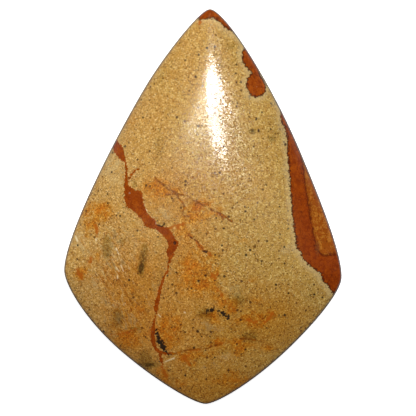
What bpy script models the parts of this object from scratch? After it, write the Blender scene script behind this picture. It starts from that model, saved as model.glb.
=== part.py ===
"""Picture jasper cabochon: a loose, polished stone with a kite outline.

The stone lies on its flat back. +X runs across it, +Y along it towards the narrow tip,
and +Z out of the polished dome. The origin is on the back, at the middle of the outline's box.
"""

import math

import bmesh
import bpy
from mathutils import Vector
from mathutils.geometry import interpolate_bezier

MM = 0.001

# Driving dimensions
THICKNESS = 6.0 * MM
EDGE_BEVEL_UP = 0.4 * MM
EDGE_BEVEL_IN = 0.35 * MM
GIRDLE_TOP = 1.9 * MM
GIRDLE_LEAN = 0.18 * MM

# The outline in millimetres, clockwise from the narrow tip. Each knot gives its place across and along the stone,
# the heading of the edge there in degrees, and how far the edge keeps that heading before and after it.
# The four corners stand at the outline's extremes, and a knot between each two gives the side its bow.
OUTLINE = {
    "tip": (0.8, 23.05, 0, 1.2, 1.8),
    "right side above": (11.2, 6.8, -67, 8.0, 7.6),
    "right corner": (16.2, -8.2, -90, 2.6, 2.0),
    "right side below": (8.9, -17.6, -138, 4.2, 5.0),
    "foot": (0.3, -23.05, 180, 1.2, 1.2),
    "left side below": (-9.2, -17.2, 140, 5.6, 5.6),
    "left corner": (-16.2, -7.4, 90, 1.8, 3.8),
    "left side above": (-6.6, 14.2, 59, 7.2, 3.6),
}
STEPS_PER_KNOT = 12

# The dome. Its rings change from the outline at the girdle to an oval round the crown.
# A dome power of 1 would make it half an ellipse in section, and 2 a parabola with a sharp shoulder.
CROWN = Vector((0.0, -2.5 * MM))
OVAL_HALF_WIDTH = 15.0 * MM
OVAL_REACH_UP = 24.0 * MM
OVAL_REACH_DOWN = 19.5 * MM
OUTLINE_SHARE_POWER = 1.6
DOME_POWER = 1.6
DOME_RINGS = 18

STONE_COLOUR = (0.50, 0.35, 0.14, 1.0)
STONE_ROUGHNESS = 0.25


def clear_scene():
    for item in list(bpy.data.objects):
        bpy.data.objects.remove(item, do_unlink=True)


def edge_points():
    """The outline at its widest, as plan points clockwise from the tip."""
    knots = list(OUTLINE.values())
    points = []
    for index, (across, along, heading, _, reach_after) in enumerate(knots):
        next_across, next_along, next_heading, reach_before, _ = knots[(index + 1) % len(knots)]
        start = Vector((across, along)) * MM
        end = Vector((next_across, next_along)) * MM
        way_out = Vector((math.cos(math.radians(heading)), math.sin(math.radians(heading))))
        way_in = Vector((math.cos(math.radians(next_heading)), math.sin(math.radians(next_heading))))
        run = interpolate_bezier(
            start,
            start + way_out * reach_after * MM,
            end - way_in * reach_before * MM,
            end,
            STEPS_PER_KNOT + 1,
        )
        points.extend(point.xy for point in run[:-1])
    return points


def inset(points, distance):
    """The same outline, each point moved inwards by the distance, square to the edge."""
    moved = []
    for index, point in enumerate(points):
        along_edge = (points[(index + 1) % len(points)] - points[index - 1]).normalized()
        moved.append(point + Vector((along_edge.y, -along_edge.x)) * distance)
    return moved


def oval_point(direction):
    """Where a ray from the crown meets the oval: two half ellipses that share their width."""
    reach = OVAL_REACH_UP if direction.y > 0 else OVAL_REACH_DOWN
    return direction / math.hypot(direction.x / OVAL_HALF_WIDTH, direction.y / reach)


def dome_ring(rim, turn):
    """One ring of the dome: turn is 90 degrees at the girdle and 0 at the crown."""
    share = math.sin(turn)
    outline_share = share ** OUTLINE_SHARE_POWER
    height = GIRDLE_TOP + (THICKNESS - GIRDLE_TOP) * math.cos(turn) ** DOME_POWER
    ring = []
    for point in rim:
        ray = point - CROWN
        reach = oval_point(ray.normalized()).lerp(ray, outline_share)
        ring.append((CROWN + reach * share).to_3d() + Vector((0, 0, height)))
    return ring


def raised(points, height):
    return [point.to_3d() + Vector((0, 0, height)) for point in points]


def stone_rings():
    """Every ring of the stone, from the flat back up to the last ring below the crown."""
    widest = edge_points()
    rim = inset(widest, GIRDLE_LEAN)
    rings = [
        raised(inset(widest, EDGE_BEVEL_IN), 0.0),
        raised(widest, EDGE_BEVEL_UP),
    ]
    for step in range(DOME_RINGS):
        rings.append(dome_ring(rim, math.radians(90) * (1 - step / DOME_RINGS)))
    return rings


def stone_material():
    material = bpy.data.materials.new("polished sandy jasper")
    material.use_nodes = True
    shader = material.node_tree.nodes["Principled BSDF"]
    shader.inputs["Base Color"].default_value = STONE_COLOUR
    shader.inputs["Roughness"].default_value = STONE_ROUGHNESS
    shader.inputs["Metallic"].default_value = 0.0
    return material


def build_stone():
    """The one solid: a flat face on the back, skins between the rings, and a fan at the crown."""
    shape = bmesh.new()
    rings = [[shape.verts.new(point) for point in ring] for ring in stone_rings()]
    crown = shape.verts.new(CROWN.to_3d() + Vector((0, 0, THICKNESS)))
    count = len(rings[0])
    shape.faces.new(rings[0])
    for lower, upper in zip(rings, rings[1:]):
        for index in range(count):
            following = (index + 1) % count
            shape.faces.new((lower[index], upper[index], upper[following], lower[following]))
    for index in range(count):
        shape.faces.new((rings[-1][index], crown, rings[-1][(index + 1) % count]))
    bmesh.ops.recalc_face_normals(shape, faces=shape.faces)
    mesh = bpy.data.meshes.new("picture_jasper")
    shape.to_mesh(mesh)
    shape.free()
    mesh.materials.append(stone_material())
    mesh.shade_smooth()
    mesh.set_sharp_from_angle(angle=math.radians(35))
    stone = bpy.data.objects.new("picture_jasper", mesh)
    bpy.context.scene.collection.objects.link(stone)
    return stone


clear_scene()
build_stone()
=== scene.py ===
"""Picture jasper cabochon: one polished stone with a kite outline, lying on its flat back.

Sandy, silica-bound rock with rust patches and veins, cut, domed and polished by a lapidary.
+X runs across the stone, +Y along it towards the narrow tip, and +Z out of the dome.
"""

import math

import bpy
import numpy as np
from mathutils import Matrix, Vector, noise


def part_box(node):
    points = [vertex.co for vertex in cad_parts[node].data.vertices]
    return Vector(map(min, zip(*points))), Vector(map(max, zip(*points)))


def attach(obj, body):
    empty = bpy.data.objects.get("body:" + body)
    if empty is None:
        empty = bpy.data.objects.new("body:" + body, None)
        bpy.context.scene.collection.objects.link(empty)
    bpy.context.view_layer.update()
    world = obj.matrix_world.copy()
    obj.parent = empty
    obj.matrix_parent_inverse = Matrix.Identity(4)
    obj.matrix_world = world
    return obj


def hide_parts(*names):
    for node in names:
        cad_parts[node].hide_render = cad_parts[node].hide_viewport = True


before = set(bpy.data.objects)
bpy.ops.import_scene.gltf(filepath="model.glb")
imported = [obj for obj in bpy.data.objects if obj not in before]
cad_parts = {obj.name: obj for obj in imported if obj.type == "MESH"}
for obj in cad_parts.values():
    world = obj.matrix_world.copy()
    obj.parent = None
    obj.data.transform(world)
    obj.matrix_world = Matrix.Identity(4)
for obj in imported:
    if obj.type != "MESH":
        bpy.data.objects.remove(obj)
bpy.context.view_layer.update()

# The stone's cut shape. A slab of rock is sawn flat for the back, ground to the kite outline with
# a girdle that leans in a little, and domed on top. The back's edge has a small bevel, so that it
# doesn't chip.
MM = 0.001
BACK, TOP = (corner.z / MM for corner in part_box("picture_jasper"))
BEVEL_UP = 0.4
BEVEL_IN = 0.35
GIRDLE_TOP = 1.9
GIRDLE_LEAN = 0.18
# The part's outline, as knots in millimetres, clockwise from the tip: place across and along the stone,
# heading of the edge in degrees, and how far the edge keeps that heading before and after the knot.
OUTLINE = {
    "tip": (0.8, 23.05, 0, 1.2, 1.8),
    "right side above": (11.2, 6.8, -67, 8.0, 7.6),
    "right corner": (16.2, -8.2, -90, 2.6, 2.0),
    "right side below": (8.9, -17.6, -138, 4.2, 5.0),
    "foot": (0.3, -23.05, 180, 1.2, 1.2),
    "left side below": (-9.2, -17.2, 140, 5.6, 5.6),
    "left corner": (-16.2, -7.4, 90, 1.8, 3.8),
    "left side above": (-6.6, 14.2, 59, 7.2, 3.6),
}
# The dome's level lines change from the outline at the girdle to an oval round the crown.
CROWN = np.array((0.0, -2.5))
OVAL_HALF_WIDTH = 15.0
OVAL_REACH_UP = 24.0
OVAL_REACH_DOWN = 19.5
OUTLINE_SHARE_POWER = 1.6
DOME_POWER = 1.6
LEVEL_LINE_ROUNDS = 20
# The mesh: cells along each of the four sides, and rows down the girdle and the bevel. The back is
# plain, so its cells are larger, and its grid stops a little short of the bevel.
SIDE_CELLS = 252
GIRDLE_ROWS = 11
BEVEL_ROWS = 3
RIM_POINTS_PER_BACK_CELL = 3
BACK_CELLS = SIDE_CELLS // RIM_POINTS_PER_BACK_CELL
BACK_GRID_SHRINK = 0.04


def heading_vector(degrees):
    return np.array((math.cos(math.radians(degrees)), math.sin(math.radians(degrees))))


def outline_run(start, end, steps=240):
    """Plan points of the edge from one named knot to a later one, evenly spaced, SIDE_CELLS + 1 of them."""
    names = list(OUTLINE)
    # The last side ends at the first knot.
    first, last = names.index(start), names.index(end) or len(names)
    run = []
    share = np.linspace(0, 1, steps)[:, None]
    for index in range(first, last):
        here, there = OUTLINE[names[index]], OUTLINE[names[(index + 1) % len(names)]]
        a, d = np.array(here[:2]), np.array(there[:2])
        b = a + heading_vector(here[2]) * here[4]
        c = d - heading_vector(there[2]) * there[3]
        rest = 1 - share
        run.append(rest ** 3 * a + 3 * rest ** 2 * share * b + 3 * rest * share ** 2 * c + share ** 3 * d)
    run = np.vstack(run)
    gone = np.concatenate(([0], np.cumsum(np.linalg.norm(np.diff(run, axis=0), axis=1))))
    even = np.linspace(0, gone[-1], SIDE_CELLS + 1)
    return np.column_stack([np.interp(even, gone, run[:, axis]) for axis in (0, 1)])


def outward(loop):
    """The outward direction at each point of a clockwise loop."""
    along = np.roll(loop, -1, axis=0) - np.roll(loop, 1, axis=0)
    along /= np.linalg.norm(along, axis=1)[:, None]
    return np.column_stack([-along[:, 1], along[:, 0]])


def patch_grid(loop, cells):
    """A square grid of points stretched over the plan inside a loop of 4 * cells points."""
    top_right = loop[0:cells + 1]
    right_foot = loop[cells:2 * cells + 1]
    left_foot = loop[2 * cells:3 * cells + 1][::-1]
    top_left = np.vstack([loop[3 * cells:], loop[:1]])[::-1]
    u = np.linspace(0, 1, cells + 1)[:, None, None]
    v = np.linspace(0, 1, cells + 1)[None, :, None]
    across = (1 - v) * top_right[:, None] + v * left_foot[:, None]
    down = (1 - u) * top_left[None] + u * right_foot[None]
    corners = (
        (1 - u) * (1 - v) * loop[0] + u * (1 - v) * loop[cells]
        + u * v * loop[2 * cells] + (1 - u) * v * loop[3 * cells]
    )
    return across + down - corners


def dome_height(plan, rim):
    """Height of the dome over plan points: each point's share of the way out, then the dome's profile."""
    ray = plan - CROWN
    reach = np.hypot(ray[:, 0], ray[:, 1])
    bearing = np.arctan2(ray[:, 1], ray[:, 0])
    rim_ray = rim - CROWN
    rim_bearing = np.arctan2(rim_ray[:, 1], rim_ray[:, 0])
    order = np.argsort(rim_bearing)
    rim_reach = np.interp(
        bearing, rim_bearing[order], np.hypot(rim_ray[:, 0], rim_ray[:, 1])[order], period=2 * math.pi
    )
    oval_along = np.where(ray[:, 1] > 0, OVAL_REACH_UP, OVAL_REACH_DOWN)
    oval_reach = 1 / np.hypot(np.cos(bearing) / OVAL_HALF_WIDTH, np.sin(bearing) / oval_along)
    share = np.clip(reach / rim_reach, 0, 1)
    # Each round brings the share closer to that of the level line through the point.
    for _ in range(LEVEL_LINE_ROUNDS):
        outline_share = share ** OUTLINE_SHARE_POWER
        share = np.clip(reach / (oval_reach + (rim_reach - oval_reach) * outline_share), 0, 1)
    return GIRDLE_TOP + (TOP - GIRDLE_TOP) * (1 - share ** 2) ** (DOME_POWER / 2)


def grid_faces(index):
    """The cells of a grid of vertex numbers, as quads that face up."""
    return np.column_stack([
        index[:-1, :-1].ravel(), index[:-1, 1:].ravel(), index[1:, 1:].ravel(), index[1:, :-1].ravel()
    ])


def grid_edge(index):
    """The vertex numbers round a grid, clockwise from its first corner."""
    return np.concatenate([index[:-1, 0], index[-1, :-1], index[:0:-1, -1], index[0, :0:-1]])


def band_faces(upper, lower):
    """Quads between two loops with the same count."""
    return np.column_stack([upper, np.roll(upper, -1), np.roll(lower, -1), lower])


CORNERS = ("tip", "right corner", "foot", "left corner", "tip")
widest = np.vstack([outline_run(start, end)[:-1] for start, end in zip(CORNERS, CORNERS[1:])])
out = outward(widest)
rim = widest - out * GIRDLE_LEAN
side = SIDE_CELLS + 1
front_index = np.arange(side * side).reshape(side, side)
front_plan = patch_grid(rim, SIDE_CELLS).reshape(-1, 2)
front_height = dome_height(front_plan, rim)
front_height[grid_edge(front_index)] = GIRDLE_TOP

# Loops of the girdle and the bevel, from the dome's rim down to the flat back.
loops = []
for row in range(1, GIRDLE_ROWS + 1):
    share = row / GIRDLE_ROWS
    loops.append((rim + (widest - rim) * share, GIRDLE_TOP + (BEVEL_UP - GIRDLE_TOP) * share))
for row in range(1, BEVEL_ROWS + 1):
    share = row / BEVEL_ROWS
    loops.append((widest - out * BEVEL_IN * share, BEVEL_UP * (1 - share)))
back_rim = widest - out * BEVEL_IN
back_loop = (back_rim + (CROWN - back_rim) * BACK_GRID_SHRINK)[::RIM_POINTS_PER_BACK_CELL]
back_plan = patch_grid(back_loop, BACK_CELLS).reshape(-1, 2)

rim_count = len(widest)
plan = np.vstack([front_plan] + [loop for loop, _ in loops] + [back_plan])
height = np.concatenate(
    [front_height] + [np.full(rim_count, level) for _, level in loops] + [np.full(len(back_plan), BACK)]
)
ring_index = [grid_edge(front_index)] + [
    len(front_plan) + rim_count * row + np.arange(rim_count) for row in range(len(loops))
]
back_start = len(front_plan) + rim_count * len(loops)
back_side = BACK_CELLS + 1
back_index = back_start + np.arange(back_side * back_side).reshape(back_side, back_side)

front_faces = np.vstack(
    [grid_faces(front_index)] + [band_faces(a, b) for a, b in zip(ring_index, ring_index[1:])]
)
# Round the back's grid, three points of the bevel's last loop meet each step of the grid's edge.
first, second, third = ring_index[-1].reshape(-1, RIM_POINTS_PER_BACK_CELL).T
inner = grid_edge(back_index)
next_inner = np.roll(inner, -1)
back_fan = np.vstack([
    np.column_stack([first, second, inner]),
    np.column_stack([second, third, inner]),
    np.column_stack([third, next_inner, inner]),
    np.column_stack([third, np.roll(first, -1), next_inner]),
])
back_faces = grid_faces(back_index)[:, ::-1]

# The stone's markings. Iron rust soaked into the sand along its cracks before it turned to rock.
# It filled the tip, the right shoulder and flank, and one vein that crosses the left side.
# The points of each mark below are listed in millimetres across and along the stone.
RUST_TIP = (
    (-1.15, 22.45), (-0.6, 22), (-0.25, 21.8), (0.5, 21.9), (1.2, 22), (1.65, 21.8), (2.1, 21.45),
    (2.4, 21.1), (2.75, 20.8), (3.3, 20.55), (3.65, 20.25), (4.3, 19.65), (5.5, 21.75), (2, 25.25),
    (-1.5, 24.1),
)
RUST_DROP = (
    (4.97, 18.32), (4.62, 18.03), (4.64, 17.68), (4.65, 17.33), (4.67, 16.98), (4.8, 16.63),
    (5, 16.3), (5.35, 16.03), (5.65, 15.8), (5.8, 15.5), (5.95, 15.1), (6.6, 15.2),
    (6.5, 15.75), (6.65, 16), (7.6, 16.4), (6.2, 19.4),
)
RUST_BLOB = (
    (5.67, 15.4), (5.38, 15.05), (5.17, 14.65), (5.11, 14.24), (5.17, 13.83), (5.32, 13.42),
    (5.53, 13.07), (5.84, 12.81), (6.19, 12.78), (6.58, 12.9), (6.89, 13.07), (7.15, 13.36),
    (7.26, 13.71), (7.22, 14.06), (7.05, 14.47), (6.8, 14.88), (6.55, 15.25), (6.25, 15.46),
)
RUST_FLANK = (
    (8.65, 12.1), (9, 11.55), (9.1, 11.05), (9.15, 10), (9.65, 9.1), (9.85, 8.2), (9.9, 7.05),
    (9.9, 5.9), (10.05, 4.6), (10.15, 3.3), (10.2, 2), (10.35, 0.65), (10.45, -0.8), (10.6, -2.25),
    (10.8, -3.6), (10.95, -4.75), (11.3, -5.15), (11.7, -6.1), (12.45, -6.85), (13.25, -7.35),
    (13.8, -7.9), (14.05, -8.65), (14.65, -9.25), (15.05, -9.95), (15.45, -10.05), (16.6, -10),
    (18.35, -8.6), (18.35, 6.6), (11.35, 12.45),
)
OCHRE_BAND = (
    (11.4, 5.65), (11.7, 4.25), (11.75, 3.3), (12, 1.7), (12.2, 0.35), (12.35, -0.95), (12.75, -2.6),
    (13, -3.9), (13.1, -4.9), (13.9, -5.7), (15.2, -5.55), (15.75, -5.7), (18.35, -5.65),
    (18.35, 6.6), (11.9, 6.6),
)
RUST_VEIN = (
    (-10.6, 8.6), (-9.75, 7.35), (-9.25, 6.75), (-9.1, 5.95), (-8.95, 5.35), (-8.75, 4.25),
    (-8.7, 3.05), (-8.65, 2.35), (-8.4, 2.3), (-7.75, 1.8), (-7.05, 1.75), (-6.9, 0.8), (-6.75, -0.05),
    (-6.45, -0.8), (-5.95, -1.2), (-5.5, -1.5), (-5.3, -2.1), (-4.85, -2.25), (-4.1, -2.45),
    (-3.75, -2.7), (-3.3, -3.5), (-2.85, -4.05), (-2.9, -4.75), (-3.3, -5.3), (-3.45, -5.8),
    (-3.8, -6.05), (-4.15, -5.8), (-4.25, -5.15), (-4, -4.55), (-4.2, -3.9),
    (-4.8, -3.15), (-5.45, -2.65), (-6.1, -2.55), (-6.7, -2.3), (-7.1, -1.5), (-7.6, -0.85),
    (-8.1, -0.5), (-8.85, 0), (-9.1, 0.9), (-9.1, 1.8), (-9, 4.35), (-9.05, 4.85), (-9.1, 5.1),
    (-9.75, 5.55), (-10.25, 6.25), (-10.5, 7.05), (-11.55, 7.75),
)
# Thin strokes: place across and along, and half the width there.
VEIN_BELOW = (
    (-3.75, -5.9, 0.2), (-3.95, -6.65, 0.08), (-4.05, -7.4, 0.07), (-4.45, -8, 0.11),
    (-4.7, -8.7, 0.12), (-4.9, -9.4, 0.15), (-5.05, -10.15, 0.2), (-5.3, -11.1, 0.24),
    (-5.45, -11.85, 0.24), (-5.4, -12.45, 0.1), (-5.6, -13, 0.05), (-5.75, -13.85, 0.19),
    (-5.8, -14.65, 0.27), (-5.8, -15.6, 0.22), (-5.55, -16.4, 0.2), (-5, -16.95, 0.18),
    (-4.15, -17.05, 0.12), (-3.5, -17, 0.05),
)
VEIN_BRANCH = ((-8.57, 3.15, 0.09), (-8.28, 3.67, 0.11), (-7.99, 4.08, 0.12), (-7.37, 4.4, 0.09))
VEIN_TAIL = ((-5, -17.1, 0.15), (-4.9, -17.7, 0.18), (-4.6, -18.4, 0.1))
RUST_STREAKS = (
    ((-14.65, -7.25, 0.13), (-14, -8.45, 0.13)),
    ((-12.4, -2.15, 0.11), (-12.25, -3.4, 0.1)),
    ((8.1, -12.4, 0.08), (7.25, -13.4, 0.08)),
    ((0.05, -5, 0.06), (0.45, -5.05, 0.1), (0.85, -5.55, 0.09)),
    ((-3.9, -2.5, 0.1), (-3.2, -2.2, 0.07), (-2.3, -2.05, 0.09)),
    ((-2.6, -2.7, 0.06), (-2.95, -2.45, 0.07)),
    ((-0.35, 21.45, 0.12), (-0.3, 21.4, 0.12)),
    ((2.65, -10.9, 0.14), (2.75, -10.95, 0.1)),
    ((5.1, -13.2, 0.12), (5.95, -13.35, 0.16), (6.3, -13.3, 0.08)),
    ((1.65, -7.9, 0.1), (1.75, -7.85, 0.08)),
    ((5.4, -8.7, 0.1), (5.45, -8.6, 0.08)),
    ((-0.2, 0.3, 0.1), (-0.6, 0.7, 0.08)),
    ((2.1, -1.1, 0.09), (1.4, -0.65, 0.06)),
    ((-10.75, -15, 0.02), (-9.2, -14.7, 0.04), (-7.7, -14.2, 0.03)),
    ((-1.5, -16.7, 0.03), (0.6, -16.5, 0.05), (1.6, -16, 0.14), (2.4, -15.8, 0.06)),
    ((-2.2, -17.4, 0.1), (-1.6, -18.3, 0.08)),
    ((-13, -5.9, 0.11), (-13.1, -6.5, 0.12)),
    ((0.9, -6.5, 0.03), (0.95, -7.4, 0.05), (1.15, -8.1, 0.1), (1.6, -8.4, 0.05)),
    ((1.6, -9.5, 0.05), (2.2, -10.3, 0.07)),
    ((-4.7, -18.6, 0.05), (-4.2, -19.8, 0.06)),
    ((-1.65, -3.3, 0.05), (-0.9, -3.9, 0.1), (-0.4, -4.6, 0.16), (0.1, -4.95, 0.16)),
)
HAIRLINES = (
    (
        (-5.6, 3.5, 0.02), (-5.3, 3, 0.07), (-4.5, 2.5, 0.09), (-3.95, 1.95, 0.06), (-3.25, 1.7, 0.07),
        (-2.6, 1.35, 0.07), (-1.9, 1.25, 0.09), (-1.1, 0.8, 0.06), (-0.45, 0.45, 0.08), (0.4, -0.1, 0.07),
        (1.15, -0.45, 0.08), (1.95, -0.75, 0.08), (3, -1.55, 0.06), (3.45, -1.8, 0.06), (4.1, -2.1, 0.04),
    ),
    ((-4.6, 1.95, 0.05), (-4.25, 1.35, 0.07), (-3.7, 1.35, 0.06), (-3.25, 1.6, 0.06)),
    (
        (-3.15, 1.4, 0.07), (-2.7, 0.85, 0.07), (-2.35, 0.45, 0.06), (-2.1, 0, 0.05),
        (-2.35, -0.75, 0.04), (-2.1, -1.2, 0.04),
    ),
    ((1.95, -0.8, 0.05), (2.2, -1.25, 0.06), (2.45, -1.6, 0.04)),
    ((4.3, -15.35, 0.06), (5.5, -15.35, 0.07), (6.1, -15.5, 0.05)),
    (
        (-3.7, -17.2, 0.07), (-2.7, -16.9, 0.03), (-1.5, -16.6, 0.03), (0.6, -16.45, 0.04),
        (1.35, -16.1, 0.08), (2.1, -15.95, 0.06),
    ),
)
# Painted glints: bright reflections off quartz flakes inside the rock and off one healed fracture
# near the foot, painted in as pale cream colour.
PAINTED_GLINTS = (
    ((-10.1, -7, 0.06), (-9.7, -7.55, 0.05)), ((-9.5, -6.8, 0.07), (-9.2, -7.55, 0.04)),
    ((-9.9, -8, 0.08), (-9.9, -8.35, 0.07)), ((-10.05, -4.9, 0.12), (-9.95, -5.1, 0.08)),
    ((-9.85, -5.35, 0.07), (-9.7, -5.6, 0.05)), ((-12.45, -3.8, 0.09), (-12.35, -3.95, 0.09)),
    ((-14.85, -3.4, 0.08), (-14.6, -4, 0.12)), ((-4.4, -18.05, 0.05), (-3.35, -17.6, 0.09)),
    ((-5.2, -12.5, 0.05), (-4.9, -12.8, 0.06)), ((-2.15, -12.25, 0.09), (-2.05, -12.3, 0.08)),
)
CRACKS = (
    (
        (-1.65, -3.3, 0.05), (-1.35, -3.6, 0.04), (-0.95, -3.85, 0.04), (-0.55, -4.1, 0.02),
        (-0.4, -4.5, 0.01), (-0.05, -4.85, 0.04),
    ),
    ((-0.05, -5.15, 0.08), (0.3, -5.22, 0.13), (0.55, -5.25, 0.06)),
    ((-5.2, -2.15, 0.09), (-4.8, -2.3, 0.08), (-4.4, -2, 0.06)),
)
MANGANESE = (
    (
        (-5.3, -14.4, 0.12), (-5.15, -15.1, 0.22), (-5, -15.7, 0.34), (-4.65, -16.3, 0.32),
        (-4.4, -16.75, 0.14), (-3.85, -17.1, 0.08),
    ),
    ((0.45, -12.2, 0.1), (0.8, -12.05, 0.2), (1.2, -11.9, 0.16)),
    ((1.8, -12.1, 0.12), (2.3, -12.4, 0.22), (2.9, -12.85, 0.2)),
)
# Round marks: place across and along, and radius.
DARK_POINTS = (
    (-1.05, -16.35, 0.13), (-0.6, -14.45, 0.12), (6.8, -6.35, 0.13), (0.3, -8, 0.12),
    (2.2, -4.5, 0.11), (-1.3, -9.5, 0.1), (1.55, -1.35, 0.09), (2.2, -1.75, 0.09), (2.4, -2.55, 0.11),
    (2.3, -5.1, 0.09), (-7.55, -2.8, 0.1), (-4.5, -1.95, 0.12), (-3.25, -4.2, 0.18), (6.45, 8.8, 0.13),
    (6.2, 10.2, 0.12), (9.6, 7.2, 0.14), (0.55, 11.4, 0.12), (1.4, 18.55, 0.13), (-0.5, 17.6, 0.12),
    (-0.85, 15.05, 0.12), (3.9, 11.6, 0.11),
)
PALE_POINTS = (
    (-8.5, 1.55, 0.13), (6.25, 13.9, 0.08), (-3.3, -4.25, 0.08), (-7.85, 3.75, 0.12), (10, 10.2, 0.2),
)
# Soft stains: place across and along, reach across and along, and strength.
ORANGE_STAINS = (
    (-8.2, 10.4, 1.6, 1.4, 0.35), (-5.7, 2.2, 1.6, 1.1, 0.9), (-12.6, -0.9, 1.9, 1.5, 0.6),
    (-12.4, -5.7, 0.7, 0.7, 0.35), (-14.1, -7.9, 1.1, 0.8, 0.8), (-0.9, -1, 1.6, 1.2, 0.6),
    (-2.9, -3, 0.8, 0.8, 0.6), (4.3, -3.6, 0.7, 0.7, 0.35), (-0.7, -7.7, 2.8, 2.6, 0.6),
    (-1.5, -7.2, 0.6, 0.6, 0.4), (1.3, -7.1, 0.6, 0.6, 0.4), (-0.3, -8.8, 0.7, 0.7, 0.4),
    (5.5, -8.6, 0.7, 0.7, 0.4), (1.8, -10.1, 0.6, 0.6, 0.4), (2.6, -11.2, 0.6, 0.6, 0.4),
    (-4.1, -14.2, 1.9, 1.9, 0.8), (-8.8, -15.3, 1.9, 0.9, 0.55), (-7.9, -12.1, 1.2, 1.2, 0.35),
    (5.7, -13.2, 1.9, 0.7, 0.8), (7.8, -12.7, 0.7, 0.7, 0.5), (0.2, -17, 1.6, 0.6, 0.5),
    (-1.9, -17.6, 0.9, 0.8, 0.8), (4.1, -16.4, 1.6, 0.9, 0.8), (3.4, -20.3, 2.3, 0.9, 0.6),
    (-2.7, -20.8, 1.2, 0.7, 0.4), (-1.5, -4, 3.5, 3, 0.15), (0.2, 0.2, 2.4, 1, 0.35),
    (-11.6, -0.4, 0.9, 1.1, 0.6), (0.6, -9.6, 2.2, 1.6, 0.3), (2.9, -11.4, 0.8, 0.9, 0.6),
    (-3.2, 1.5, 1.4, 0.5, 0.5), (-0.4, 0.5, 1.2, 0.5, 0.6), (1.7, -0.8, 1, 0.5, 0.6),
    (1.2, -12.9, 1, 0.5, 0.8), (1.5, -15.8, 0.8, 0.4, 1), (7.8, -16.3, 1.3, 0.8, 0.55),
    (-4.6, -19.4, 0.6, 1, 0.7), (6.2, -11.1, 1, 0.5, 0.35), (-12.9, -2.6, 0.5, 0.9, 0.5),
)
# Tan sand is real iron tint and also painted shade: it darkens the lower half, where less light falls.
TAN_SAND_AND_SHADE = (
    (0, -14, 9, 6, 0.65), (-9, -14, 4, 4, 0.6), (9, -13, 5, 4, 0.6), (0, -22, 9, 4, 0.7),
    (-1.5, -5, 4, 3.5, 0.4), (-8, -8, 5, 4, 0.6), (-5, 1, 3, 3, 0.5), (0, 2, 5, 4, 0.4),
)
OLIVE_STAINS = (
    (-11.1, -4.7, 0.6, 1.6, 0.9), (-7, -6.2, 0.4, 1, 1), (-7.2, -7.3, 0.35, 0.6, 1.7),
    (-6.7, -4.8, 0.4, 0.9, 0.6),
    (-9.9, -13, 0.9, 1.6, 0.6), (-6.7, -17.7, 0.9, 1.2, 0.7), (8.4, 8.9, 2.1, 2.3, 0.35),
    (3.2, 18.6, 1.2, 0.7, 0.4), (0.6, -14.4, 1.6, 1.4, 0.35), (3.7, -9.2, 0.9, 0.9, 0.3),
    (12.5, -9.8, 2.3, 2.9, 0.3), (5.5, -15, 1.4, 0.9, 0.6), (-5, 7.2, 1.2, 4.1, 0.35),
    (0.2, -12.3, 1.2, 0.7, 0.6), (4.2, -10.8, 1.6, 1.2, 0.45), (-7.8, -14.2, 0.8, 0.25, 0.9),
    (-6.3, -18.4, 1.2, 0.35, 1), (2.4, -16.8, 1, 0.6, 0.4), (-9.4, -4, 0.7, 0.6, 0.5),
    (13.3, -4.9, 0.35, 1.1, 0.9), (-7.9, 2.6, 0.35, 0.5, 0.7), (-5.2, -4.5, 0.9, 1.6, 0.3),
    (-4.9, -7.5, 0.6, 1.5, 0.35), (-5.7, -9.5, 0.5, 1.5, 0.3), (5.7, 8.7, 0.4, 0.25, 1.1),
    (8, 7.8, 0.3, 0.25, 1),
)
PALE_STAINS = (
    (-10.3, 4, 1.4, 2.9, 0.7), (-14.6, -3.9, 1.4, 1.6, 0.7), (-4.4, -0.7, 1.6, 0.9, 0.5),
    (-7.3, -2.2, 1.4, 0.9, 0.3), (-5.2, -4.2, 1.2, 1.4, 0.35), (-4.4, -7.2, 0.7, 1.2, 0.4),
    (9.6, -5.1, 0.7, 1.2, 0.5), (0.2, -18.9, 2.6, 1.4, 0.3), (3.6, -9.3, 0.9, 1.2, 0.55),
    (0.9, -14.1, 1.7, 0.9, 0.55), (2.8, -17.4, 1.5, 0.7, 0.5), (-1.2, -12.9, 0.9, 0.6, 0.4),
    (-5.5, -9.2, 0.5, 1.5, 0.5), (-10.2, -11.2, 2.2, 1.2, 0.4), (-12.4, -8.6, 0.9, 0.8, 0.4),
)
STREAKY_SAND = ((-10.5, -6, 4.5, 6.5, 1), (-9, -14, 4, 3.5, 0.6), (1, -19, 4, 2.5, 0.4))
# The bedding dips, so a mark moves this far for each millimetre down into the stone, and wanders.
DIP = np.array((0.35, -0.2))
WANDER = 0.3
WANDER_SIZE = 4.0
# The soft stains crept between the grains, so their edges wander, in large bends and small ones.
LARGE_CREEP = 0.9
LARGE_CREEP_SIZE = 2.4
SMALL_CREEP = 0.4
SMALL_CREEP_SIZE = 0.7
# The levels at which a noise is cut, one for the way across the stone and one for the way along it.
NOISE_LEVELS = (10, 50)


def nearest_on(points, a, b):
    """Share of the way from a to b of each point's nearest place on that line, and the distance to it."""
    line = b - a
    share = np.clip((points - a) @ line / (line @ line), 0, 1)
    gap = points - a - share[:, None] * line
    return share, np.hypot(gap[:, 0], gap[:, 1])


def depth_inside(points, outline):
    """Millimetres inside a closed outline, and below zero outside it."""
    outline = np.array(outline)
    gap = np.full(len(points), np.inf)
    inside = np.zeros(len(points), bool)
    for a, b in zip(outline, np.roll(outline, -1, axis=0)):
        gap = np.minimum(gap, nearest_on(points, a, b)[1])
        crossed = (a[1] > points[:, 1]) != (b[1] > points[:, 1])
        rise = b[1] - a[1] if b[1] != a[1] else np.inf
        inside ^= crossed & (points[:, 0] < a[0] + (points[:, 1] - a[1]) * (b[0] - a[0]) / rise)
    return np.where(inside, gap, -gap)


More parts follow.
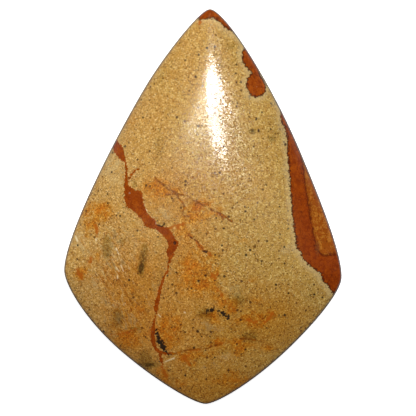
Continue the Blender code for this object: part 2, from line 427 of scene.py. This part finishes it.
def depth_in_stroke(points, stroke):
    """Millimetres inside a drawn stroke, and below zero outside it."""
    deepest = np.full(len(points), -np.inf)
    for (ax, ay, a_half), (bx, by, b_half) in zip(stroke, stroke[1:]):
        share, gap = nearest_on(points, np.array((ax, ay)), np.array((bx, by)))
        deepest = np.maximum(deepest, a_half + (b_half - a_half) * share - gap)
    return deepest


def depth_in_strokes(points, strokes):
    return np.max([depth_in_stroke(points, stroke) for stroke in strokes], axis=0)


def depth_in_points(points, marks):
    return np.max([radius - np.hypot(points[:, 0] - x, points[:, 1] - y) for x, y, radius in marks], axis=0)


def soaked(points, stains):
    """How strongly soft stains colour each point."""
    strength = np.zeros(len(points))
    for x, y, across, along, amount in stains:
        away = ((points[:, 0] - x) / across) ** 2 + ((points[:, 1] - y) / along) ** 2
        strength += amount * np.exp(-away)
    return strength


def bends(points, size):
    """Two smooth noises from -1 to 1 for each point, across and along, with bends of this size."""
    return np.array([
        [noise.noise(Vector((x, y, level)) / size) for level in NOISE_LEVELS] for x, y in points
    ])


# How far each point lies below the dome, since the bedding carries the dome's markings down.
below = np.zeros(len(plan))
below[len(front_plan):back_start] = GIRDLE_TOP - height[len(front_plan):back_start]
below[back_start:] = dome_height(back_plan, rim) - BACK
bedding = plan + (DIP + WANDER * bends(plan, WANDER_SIZE)) * below[:, None]
crept = bedding + LARGE_CREEP * bends(bedding, LARGE_CREEP_SIZE)
crept += SMALL_CREEP * bends(bedding, SMALL_CREEP_SIZE)

patches = np.max(
    [depth_inside(bedding, mark) for mark in (RUST_TIP, RUST_DROP, RUST_BLOB, RUST_FLANK)], axis=0
)
veins = np.maximum(
    depth_inside(bedding, RUST_VEIN), depth_in_strokes(bedding, (VEIN_BELOW, VEIN_BRANCH, VEIN_TAIL))
)
# No depth of a mark or strength of a stain counts beyond this, and a vein has a fainter bleached
# rind than a patch.
FARTHEST = 1.5
VEIN_RIND = 0.2
marks = {
    "rust": np.maximum(patches, veins),
    "rind": np.where(patches > veins, 1.0, VEIN_RIND),
    "ochre": depth_inside(bedding, OCHRE_BAND),
    "streak": depth_in_strokes(bedding, RUST_STREAKS),
    "hairline": depth_in_strokes(bedding, HAIRLINES),
    "crack": np.maximum(depth_in_strokes(bedding, CRACKS), depth_in_points(bedding, DARK_POINTS)),
    "manganese": depth_in_strokes(bedding, MANGANESE),
    "pale_point": depth_in_points(bedding, PALE_POINTS),
    # Painted glints: reflections painted in as colour.
    "painted_glint": depth_in_strokes(bedding, PAINTED_GLINTS),
    "orange": soaked(crept, ORANGE_STAINS),
    "olive": soaked(bedding, OLIVE_STAINS),
    "pale": soaked(crept, PALE_STAINS),
    "tan_and_shade": soaked(crept, TAN_SAND_AND_SHADE),
    "streaky": soaked(crept, STREAKY_SAND),
}

# The polish. The wheel leaves the dome very slightly uneven, cuts the soft sand a little below
# the hard rust, and opens small pits at the cracks and dark points.
WAVE_SIZE = 2.6
WAVE_HEIGHT = 0.002
RUST_PROUD = 0.008
PIT_DEPTH = 0.02
# The relief at a mark's edge rises over this width, and a pale point keeps a lip round its pit.
EDGE_WIDTH = 0.1
PALE_POINT_LIP = 0.05

points = np.column_stack([plan, height]) * MM
quads = np.vstack([front_faces, back_faces])
stone_mesh = bpy.data.meshes.new("picture_jasper_stone")
stone_mesh.from_pydata(points.tolist(), [], quads.tolist() + back_fan.tolist())
stone_mesh.update()
normals = np.array([vertex.vector for vertex in stone_mesh.vertex_normals])
waves = np.array([noise.noise(Vector(point) / (WAVE_SIZE * MM)) for point in points])
pit_reach = np.maximum(marks["crack"], marks["pale_point"] - PALE_POINT_LIP)
pit = np.clip(pit_reach / EDGE_WIDTH + 0.5, 0, 1)
proud = np.clip(marks["rust"] / EDGE_WIDTH, 0, 1)
lift = WAVE_HEIGHT * (waves - 1) + RUST_PROUD * (proud - 1) - PIT_DEPTH * pit
# The base stays flat and the widest line keeps its size, so the relief fades out towards them.
lift *= np.clip((height - BEVEL_UP) / (GIRDLE_TOP - BEVEL_UP), 0, 1)
points += normals * (lift * MM)[:, None]
stone_mesh.vertices.foreach_set("co", points.ravel())
stone_mesh.shade_smooth()
for name, values in marks.items():
    stone_mesh.attributes.new(name, "FLOAT", "POINT").data.foreach_set(
        "value", np.clip(values, -FARTHEST, FARTHEST).astype(np.float32)
    )

# Unwrapped for painting: the dome with its girdle laid out flat round it, and the back beside it.
ISLAND_GAP = 1.5
unrolled = np.vstack([front_plan] + [widest] * len(loops) + [back_plan])
girdle_height = GIRDLE_TOP - BEVEL_UP
for row, (_, level) in enumerate(loops):
    bevel_share = max(row + 1 - GIRDLE_ROWS, 0) / BEVEL_ROWS
    down = min(GIRDLE_TOP - level, girdle_height) + math.hypot(BEVEL_UP, BEVEL_IN) * bevel_share
    start = len(front_plan) + rim_count * row
    unrolled[start:start + rim_count] = rim + out * down
front_low, front_high = unrolled[:back_start].min(axis=0), unrolled[:back_start].max(axis=0)
beside = front_high[0] + ISLAND_GAP + back_plan[:, 0].max() + BEVEL_IN
mirrored = np.column_stack([beside - plan[:, 0], plan[:, 1]])
layout_across = mirrored[back_start:, 0].max() - front_low[0] + ISLAND_GAP
layout_along = front_high[1] - front_low[1] + ISLAND_GAP
layout_side = max(layout_across, layout_along) + ISLAND_GAP
face_corners = np.zeros(len(stone_mesh.loops), np.int32)
stone_mesh.loops.foreach_get("vertex_index", face_corners)
on_front = (np.arange(len(face_corners)) < front_faces.size)[:, None]
uv = np.where(on_front, unrolled[face_corners], mirrored[face_corners])
uv = (uv - front_low + ISLAND_GAP / 2) / layout_side
stone_mesh.uv_layers.new(name="OFBake").data.foreach_set("uv", uv.astype(np.float32).ravel())

stone = bpy.data.objects.new("picture_jasper_stone", stone_mesh)
bpy.context.scene.collection.objects.link(stone)

# Polished picture jasper: quartz sand bound by silica, so it takes a glassy polish over dull
# grains. The eye sees fine cream and tan grains, black and rust specks, and a sharp highlight
# with a soft sandy glow round it.
stone_finish = bpy.data.materials.new("polished_picture_jasper")
stone_finish.use_nodes = True
rock = stone_finish.node_tree
rock.nodes.clear()


def linear(hex_colour):
    """A Blender colour from an sRGB hex value."""
    channels = [int(hex_colour[place:place + 2], 16) / 255 for place in (1, 3, 5)]
    return [c / 12.92 if c <= 0.04045 else ((c + 0.055) / 1.055) ** 2.4 for c in channels] + [1]


def add(kind, inputs=(), tree=rock, **settings):
    """Adds a node with its settings, and sets or links its inputs, by name or else in order.

    An input given as a node is linked to the first of that node's outputs that is in use.
    """
    node = tree.nodes.new("ShaderNode" + kind)
    for name, value in settings.items():
        setattr(node, name, value)
    in_use = [socket for socket in node.inputs if socket.enabled]
    for place, value in inputs.items() if isinstance(inputs, dict) else enumerate(inputs):
        socket = in_use[place] if isinstance(place, int) else node.inputs[place]
        if isinstance(value, bpy.types.Node):
            value = next(output for output in value.outputs if output.enabled)
        if isinstance(value, bpy.types.NodeSocket):
            tree.links.new(value, socket)
        else:
            socket.default_value = value
    return node


def laid_over(base, layers):
    """A colour with layers laid over it.

    Each layer says what it follows, where that starts and where it is full, how much then hides
    what is under it, its colour, and how the two mix.
    """
    for follows, start, full, most, colour, way in layers:
        share = add("MapRange", (follows, start, full, 0.0, most), interpolation_type="SMOOTHSTEP")
        over = linear(colour) if isinstance(colour, str) else colour
        base = add("Mix", (share, base, over), data_type="RGBA", blend_type=way)
    return base


# Places in the stone, in millimetres, so that each pattern's size is a real one.
in_stone = add("TexCoord").outputs["Object"]
millimetres = add("VectorMath", {"Vector": in_stone, "Scale": 1 / MM}, operation="SCALE")
across = add("SeparateXYZ", [millimetres]).outputs["X"]
mark = {name: add("Attribute", attribute_name=name).outputs["Fac"] for name in marks}

# Soft noises from about -1 to 1, by the size of their patches in millimetres and their detail.
noises = {}
for name, size, detail in (
    ("grit", 0.2, 1.0), ("sliver", 0.28, 1.0), ("bud", 0.3, 1.0), ("scallop", 0.4, 1.0),
    ("mottle", 0.8, 4.0), ("patch", 1.3, 3.0), ("region", 5.5, 2.0),
):
    noises[name] = add(
        "TexNoise", {"Vector": millimetres, "Scale": 1 / size, "Detail": detail, "Roughness": 0.7},
        normalize=False,
    )

# Sand grains are mostly 0.1 to 0.2 mm across, and each has its own tone and lies at its own lean.
GRAIN_SIZE = 0.135
grains = add("TexVoronoi", {"Vector": millimetres, "Scale": 1 / GRAIN_SIZE})
grain = add("SeparateColor", [grains.outputs["Color"]]).outputs
sand = add("ValToRGB", [grain["Red"]])
tones = sand.color_ramp.elements
tones[0].color = linear("#7C5620")
tones[1].color = linear("#F4D288")
for place, colour in ((0.08, "#A27034"), (0.2, "#C08C40"), (0.6, "#CC9A4A"), (0.88, "#DAAC60")):
    tones.new(place).color = linear(colour)
from_centre = add("VectorMath", (millimetres, grains.outputs["Position"]), operation="SUBTRACT")
grain_lean = add("VectorMath", (grains.outputs["Color"], (0.5, 0.5, 0.5)), operation="SUBTRACT")
facet = add("VectorMath", (from_centre, grain_lean), operation="DOT_PRODUCT")

# Below the vein the sand was dragged into slanting streaks, orange and cream by turns, about 1.6 mm
# long and 0.65 mm wide. Among them are cream and brown flecks of a third of that size.
STREAK_SLANT = math.radians(62)
STREAK_STRETCH = (0.9, 2.2, 1.0)
STREAKS_PER_MM = 0.7
FLECKS_PER_MM = 2.2
slant = add("VectorRotate", {"Vector": millimetres, "Angle": STREAK_SLANT}, rotation_type="Z_AXIS")
drawn_out = add("VectorMath", (slant, STREAK_STRETCH), operation="MULTIPLY")
drag = add(
    "TexNoise", {"Vector": drawn_out, "Scale": STREAKS_PER_MM, "Detail": 3.0, "Distortion": 1.4},
    normalize=False,
)
dragged = add("Math", (drag, mark["streaky"]), operation="MULTIPLY")
sliver_drag = add(
    "TexNoise", {"Vector": drawn_out, "Scale": FLECKS_PER_MM, "Detail": 2.0, "Distortion": 0.8},
    normalize=False,
)
flecks = add("Math", (sliver_drag, mark["streaky"]), operation="MULTIPLY")

# Black and brown specks, mostly 0.1 to 0.3 mm across. They lie in cells half a millimetre apart, and
# about one cell in three holds one.
SPECK_SPACING = 0.5
SPECK_REACH = 0.17
specks = add("TexVoronoi", {"Vector": millimetres, "Scale": 1 / SPECK_SPACING})
speck = add("SeparateColor", [specks.outputs["Color"]]).outputs
speck_colour = add("Mix", (speck["Blue"], linear("#201812"), linear("#6E4218")), data_type="RGBA")

# What the layers follow: patterns added up, each times its weight.
mixtures = {
    "khaki": ((across, 0.06), (noises["region"], 0.35), (noises["patch"], 0.15)),
    "dark grit": ((noises["grit"], 0.3), (noises["patch"], 0.06)),
    "mottling": ((noises["mottle"], 0.9), (noises["bud"], 0.3), (noises["grit"], 0.3)),
    "speck size": ((speck["Red"], SPECK_REACH / SPECK_SPACING), (specks.outputs["Distance"], -1.0)),
    "speck here": (
        (speck["Green"], 1.0), (noises["region"], 0.25), (noises["patch"], 0.2), (mark["streaky"], -0.12),
        (mark["tan_and_shade"], -0.1),
    ),
    "scallops": ((noises["scallop"], 0.1), (noises["grit"], 0.14)),
    "ochre": ((mark["ochre"], 1.0), (noises["mottle"], 0.14)),
    "polish": ((facet, 1.0), (noises["grit"], 0.008)),
    "streak": ((mark["streak"], 1.0), (noises["mottle"], 0.16), (noises["bud"], 0.1)),
    "hairline": ((mark["hairline"], 1.0), (noises["scallop"], 0.06)),
    "crack": ((mark["crack"], 1.0), (noises["bud"], 0.06)),
    "manganese": ((mark["manganese"], 1.0), (noises["bud"], 0.3)),
}
sums = {}
for name, parts in mixtures.items():
    total = 0.0
    for part, weight in parts:
        total = add("Math", (part, weight, total), operation="MULTIPLY_ADD")
    sums[name] = total

# Stains of iron (orange), of clay (olive) and bleached places (pale) are broken up by the grains.
stain = {}
for name, patchiness in (("orange", 1.0), ("olive", 0.35), ("pale", 1.0)):
    broken = add("Math", (sums["mottling"], patchiness, 1.0), operation="MULTIPLY_ADD")
    stain[name] = add("Math", (mark[name], broken), operation="MULTIPLY")
sliver_gap = add("Math", [noises["sliver"]], operation="ABSOLUTE")
speck_gate = add("MapRange", (sums["speck here"], 0.6, 0.68))
speck_reach = add("MapRange", (sums["speck size"], -0.05, 0.06))
speck_share = add("Math", (speck_gate, speck_reach), operation="MULTIPLY")

# Veins are smoother at the edge than the big patches, which have a bleached rind outside the rust
# and a dark line just inside it. Reaches are in millimetres.
EVERY_CRINKLE = 0.6
PATCH_CRINKLE = 0.4
PATCH_SPREAD = 0.08
LINE_INSET = 0.05
LINE_REACH = 0.14
RIND_REACH = 0.9
RIND_FULL = 0.1
RIND_UNEVENNESS = 0.2
crinkled = add("Math", (mark["rind"], PATCH_CRINKLE, EVERY_CRINKLE), operation="MULTIPLY_ADD")
crinkle = add("Math", (sums["scallops"], crinkled), operation="MULTIPLY")
rust_spread = add("Math", (mark["rind"], PATCH_SPREAD, mark["rust"]), operation="MULTIPLY_ADD")
rust_reach = add("Math", (rust_spread, crinkle), operation="ADD")
rust_inside = add("Math", (rust_reach, LINE_INSET), operation="SUBTRACT")
rust_gap = add("Math", [rust_inside], operation="ABSOLUTE")
line_reach = add("Math", (mark["rind"], LINE_REACH), operation="MULTIPLY")
rust_line = add("Math", (line_reach, rust_gap), operation="SUBTRACT")
rind_place = add("Math", (noises["patch"], RIND_UNEVENNESS, rust_reach), operation="MULTIPLY_ADD")
rind_share = add("MapRange", (rind_place, -RIND_REACH, -RIND_FULL))
rind = add("Math", (rind_share, mark["rind"]), operation="MULTIPLY")

# The sand has rusty and pale grains. Clay turns it khaki towards the right. Iron turns it tan in
# the lower half, and that tan is also painted shade, darker where less light falls. Over that come
# the streaks, the stains, the specks and the bleached rind.
sand = laid_over(sand, (
    (grain["Green"], 0.86, 0.92, 0.6, "#A8661E", "MIX"),
    (grain["Blue"], 0.93, 0.97, 0.4, "#F9E4AC", "MIX"),
    (sums["khaki"], -0.5, 0.6, 1.0, "#F2FAF0", "MULTIPLY"),
    (sliver_gap, 0.2, 0.02, 0.3, "#E6CA8E", "MIX"),
    (sums["dark grit"], 0.0, 0.3, 0.5, "#B59C6A", "MULTIPLY"),
    # The tan is partly painted shade, darkening the lower half.
    (mark["tan_and_shade"], 0.0, 1.0, 1.0, "#F4D698", "MULTIPLY"),
    (dragged, 0.0, 0.6, 0.6, "#F4CC86", "MULTIPLY"),
    (dragged, -0.1, -0.6, 0.3, "#D4BC88", "MIX"),
    (dragged, -0.35, -0.7, 0.7, "#B4AC90", "MULTIPLY"),
    (flecks, 0.25, 0.6, 0.5, "#E8CC90", "MIX"),
    (flecks, -0.2, -0.55, 0.7, "#B89868", "MULTIPLY"),
    (stain["pale"], 0.2, 0.9, 0.4, "#D8C08A", "MIX"),
    (stain["orange"], 0.1, 0.6, 0.9, "#FFDF8A", "MULTIPLY"),
    (stain["orange"], 0.5, 1.3, 0.7, "#FCCA72", "MULTIPLY"),
    (stain["olive"], 0.15, 0.6, 0.9, "#CCCAB4", "MULTIPLY"),
    (stain["olive"], 0.7, 1.3, 0.9, "#86806A", "MULTIPLY"),
    (speck_share, 0.0, 1.0, 0.9, speck_colour, "MIX"),
    (rind, 0.0, 1.0, 0.35, "#D9C698", "MIX"),
))

# Rust is even, with orange clouds and some grains that show through, and the ochre band lies in it
# beyond a dark seam. It lies thicker, and so deeper in colour, towards the right flank.
SEAM_UNEVENNESS = 0.12
pale_ochre = add("Math", (sums["ochre"], sums["mottling"]), operation="MINIMUM")
from_seam = add("Math", [sums["ochre"]], operation="ABSOLUTE")
seam_gap = add("Math", (noises["bud"], SEAM_UNEVENNESS, from_seam), operation="MULTIPLY_ADD")
rust = laid_over(linear("#8E3A05"), (
    (sums["mottling"], -0.7, 1.1, 1.0, "#AE520A", "MIX"),
    (sums["ochre"], -0.05, 0.12, 1.0, "#A85C12", "MIX"),
    (pale_ochre, 0.0, 0.5, 0.8, "#D09034", "MIX"),
    (seam_gap, 0.17, 0.03, 0.7, "#4E200A", "MIX"),
    (stain["olive"], 0.3, 0.9, 0.8, "#7A4A2C", "MIX"),
    (grain["Green"], 0.65, 1.0, 0.45, "#642204", "MIX"),
    (grain["Blue"], 0.7, 1.0, 0.35, "#C8641A", "MIX"),
    (speck_share, 0.0, 1.0, 0.4, "#4A1E0A", "MIX"),
    (across, 9.0, 12.5, 1.0, "#F0DFD0", "MULTIPLY"),
))

# Hairlines are broken threads of rust, cracks hold dark soil, and manganese grew in black buds.
thread_colour = add("Mix", (sums["mottling"], linear("#7A3E06"), linear("#C8740C")), data_type="RGBA")
thread_gate = add("MapRange", (noises["mottle"], -0.8, -0.1, 0.3, 0.95))
thread_reach = add("MapRange", (sums["hairline"], -0.11, 0.01))
thread = add("Math", (thread_gate, thread_reach), operation="MULTIPLY")
surface = laid_over(sand, (
    (sums["streak"], -0.14, 0.05, 0.9, "#B85E0E", "MIX"),
    (rust_reach, -0.03, 0.04, 1.0, rust, "MIX"),
    (rust_line, 0.0, 0.08, 0.85, "#451A08", "MIX"),
    (thread, 0.0, 1.0, 1.0, thread_colour, "MIX"),
    (sums["crack"], -0.08, 0.02, 0.9, "#32160A", "MIX"),
    (sums["manganese"], -0.04, 0.05, 0.95, "#181214", "MIX"),
    (mark["pale_point"], -0.03, 0.08, 0.6, "#C6B796", "MIX"),
    # Painted highlight: the glints are reflections painted in as pale cream.
    (mark["painted_glint"], -0.06, 0.06, 0.7, "#FFEFC0", "MIX"),
))

# Quartz's refractive index is 1.54. The grains scatter, and the polish lies over them as a coat.
# Rust is finer than sand, so it takes a smoother polish.
GRAIN_RELIEF = 0.18
POLISH_RELIEF = 0.05
SAND_ROUGHNESS = 0.28
RUST_ROUGHNESS = 0.2
grain_bump = add("Bump", {"Height": sums["polish"], "Distance": GRAIN_RELIEF * MM})
polish_bump = add("Bump", {"Height": sums["polish"], "Distance": POLISH_RELIEF * MM})
polished_grain = add("MapRange", (rust_reach, -0.03, 0.04, SAND_ROUGHNESS, RUST_ROUGHNESS))
polished_stone = add("BsdfPrincipled", {
    "Base Color": surface, "Roughness": polished_grain, "IOR": 1.54, "Specular IOR Level": 0.3,
    "Coat Weight": 1.0, "Coat Roughness": 0.08, "Coat IOR": 1.5,
    "Normal": grain_bump, "Coat Normal": polish_bump,
})
add("OutputMaterial", {"Surface": polished_stone})
stone_mesh.materials.append(stone_finish)

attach(stone, "root")
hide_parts("picture_jasper")

# The table: a plain sheet of matt paper under the stone, with no wall behind it. It is white to the
# camera, grey in the stone's reflections and paler in the light that it throws back.
TABLE_HALF = 2000.0
TABLE_DROP = 0.03
sheet_mesh = bpy.data.meshes.new("table")
corner_signs = ((-1, -1), (1, -1), (1, 1), (-1, 1))
sheet_mesh.from_pydata(
    [(x * TABLE_HALF * MM, y * TABLE_HALF * MM, (BACK - TABLE_DROP) * MM) for x, y in corner_signs],
    [], [(0, 1, 2, 3)],
)
table = bpy.data.objects.new("table", sheet_mesh)
bpy.context.scene.collection.objects.link(table)
matt_paper = bpy.data.materials.new("matt_white_paper")
matt_paper.use_nodes = True
paper = matt_paper.node_tree
paper.nodes.clear()
sight = add("LightPath", tree=paper).outputs
mirrored_grey, bounced_grey = linear("#7C7C7C"), linear("#D4D4D4")
paper_tone = add("Mix", (sight["Is Diffuse Ray"], mirrored_grey, bounced_grey), tree=paper, data_type="RGBA")
shaded_paper = add("BsdfDiffuse", {"Color": paper_tone}, tree=paper)
lit_paper = add("BsdfPrincipled", {
    "Base Color": linear("#F2F2F2"), "Roughness": 0.9,
    "Emission Color": linear("#FFFFFF"), "Emission Strength": 0.93,
}, tree=paper)
paper_seen = add("MixShader", (sight["Is Camera Ray"], shaded_paper, lit_paper), tree=paper)
add("OutputMaterial", {"Surface": paper_seen}, tree=paper)
sheet_mesh.materials.append(matt_paper)


# Studio light: a bowl-shaped lamp above the tip's side, whose reflection is the long highlight on
# the dome, with a dim slatted shade on its left. Two large soft fills, far off, light the stone but
# are kept out of its reflections. The room is dim in those too, and white to the camera.
def lamp(name, place, width, length, lean, watts, colour="#FFFFFF", in_reflections=True):
    """An oval lamp at a place in millimetres, turned to the stone, its length leaning from the tip's way."""
    light = bpy.data.lights.new(name, "AREA")
    light.color = linear(colour)[:3]
    light.shape = "ELLIPSE"
    light.size = width * MM
    light.size_y = length * MM
    light.energy = watts
    holder = bpy.data.objects.new(name, light)
    from_stone = Vector(place).normalized()
    across = Vector((-math.sin(math.radians(lean)), math.cos(math.radians(lean)), 0)).cross(from_stone)
    across.normalize()
    turn = Matrix((across, from_stone.cross(across), from_stone)).transposed().to_4x4()
    holder.matrix_world = Matrix.Translation(Vector(place) * MM) @ turn
    holder.visible_camera = False
    holder.visible_glossy = in_reflections
    bpy.context.scene.collection.objects.link(holder)


lamp("lamp_bowl", (26, 93, 184), 86, 26, -4, 0.152)
lamp("lamp_core", (28, 70, 182), 30, 44, 17, 0.06)
lamp("lamp_foot", (31, 52, 182), 15, 29, 0, 0.007)
lamp("lamp_brow", (56, 108, 184), 38, 14, 0, 0.026)
lamp("lamp_haze", (-14, 78, 187), 66, 52, 0, 0.024, "#FFFAE0")
# The shade has slats. The grains lie at small tilts and mirror a slat or a gap, so the glow sparkles.
for slat_place, watts in ((-30, 0.01), (-17, 0.012), (-4, 0.016), (9, 0.022)):
    lamp("shade_slat", (slat_place, 87, 186), 5, 48, 0, watts, "#FFFAE0")
lamp("left_fill", (-480, 200, 90), 200, 200, 0, 0.91, in_reflections=False)
lamp("top_fill", (200, 160, 280), 160, 160, 0, 0.22, in_reflections=False)

room = bpy.data.worlds.new("room")
room.use_nodes = True
air = room.node_tree
air.nodes.clear()
ray = add("LightPath", tree=air).outputs
dark_room = add("Background", {"Color": linear("#FFFFFF"), "Strength": 0.015}, tree=air)
soft_fill = add("Background", {"Color": linear("#FFFFFF"), "Strength": 0.06}, tree=air)
white_wall = add("Background", {"Color": linear("#FFFFFF"), "Strength": 1.0}, tree=air)
lit_room = add("MixShader", (ray["Is Glossy Ray"], soft_fill, dark_room), tree=air)
seen_room = add("MixShader", (ray["Is Camera Ray"], lit_room, white_wall), tree=air)
add("OutputWorld", {"Surface": seen_room}, tree=air)
bpy.context.scene.world = room
bpy.context.scene.view_settings.view_transform = "Standard"

# The camera: a long lens straight above the stone, with the tip up. The picture's width and the place
# it looks at, in millimetres, frame the stone as in the photograph.
PICTURE_WIDTH = 48.56
LENS = 400.0
SENSOR = 36.0
LOOK_ACROSS, LOOK_ALONG, LOOK_UP = 0.59, -0.18, 0.4
eye = bpy.data.cameras.new("eye")
eye.lens = LENS
eye.sensor_width = SENSOR
eye.clip_start = 0.01
eye.clip_end = 10
camera = bpy.data.objects.new("eye", eye)
camera.location = Vector((LOOK_ACROSS, LOOK_ALONG, LOOK_UP + PICTURE_WIDTH * LENS / SENSOR)) * MM
bpy.context.scene.collection.objects.link(camera)
bpy.context.scene.camera = camera
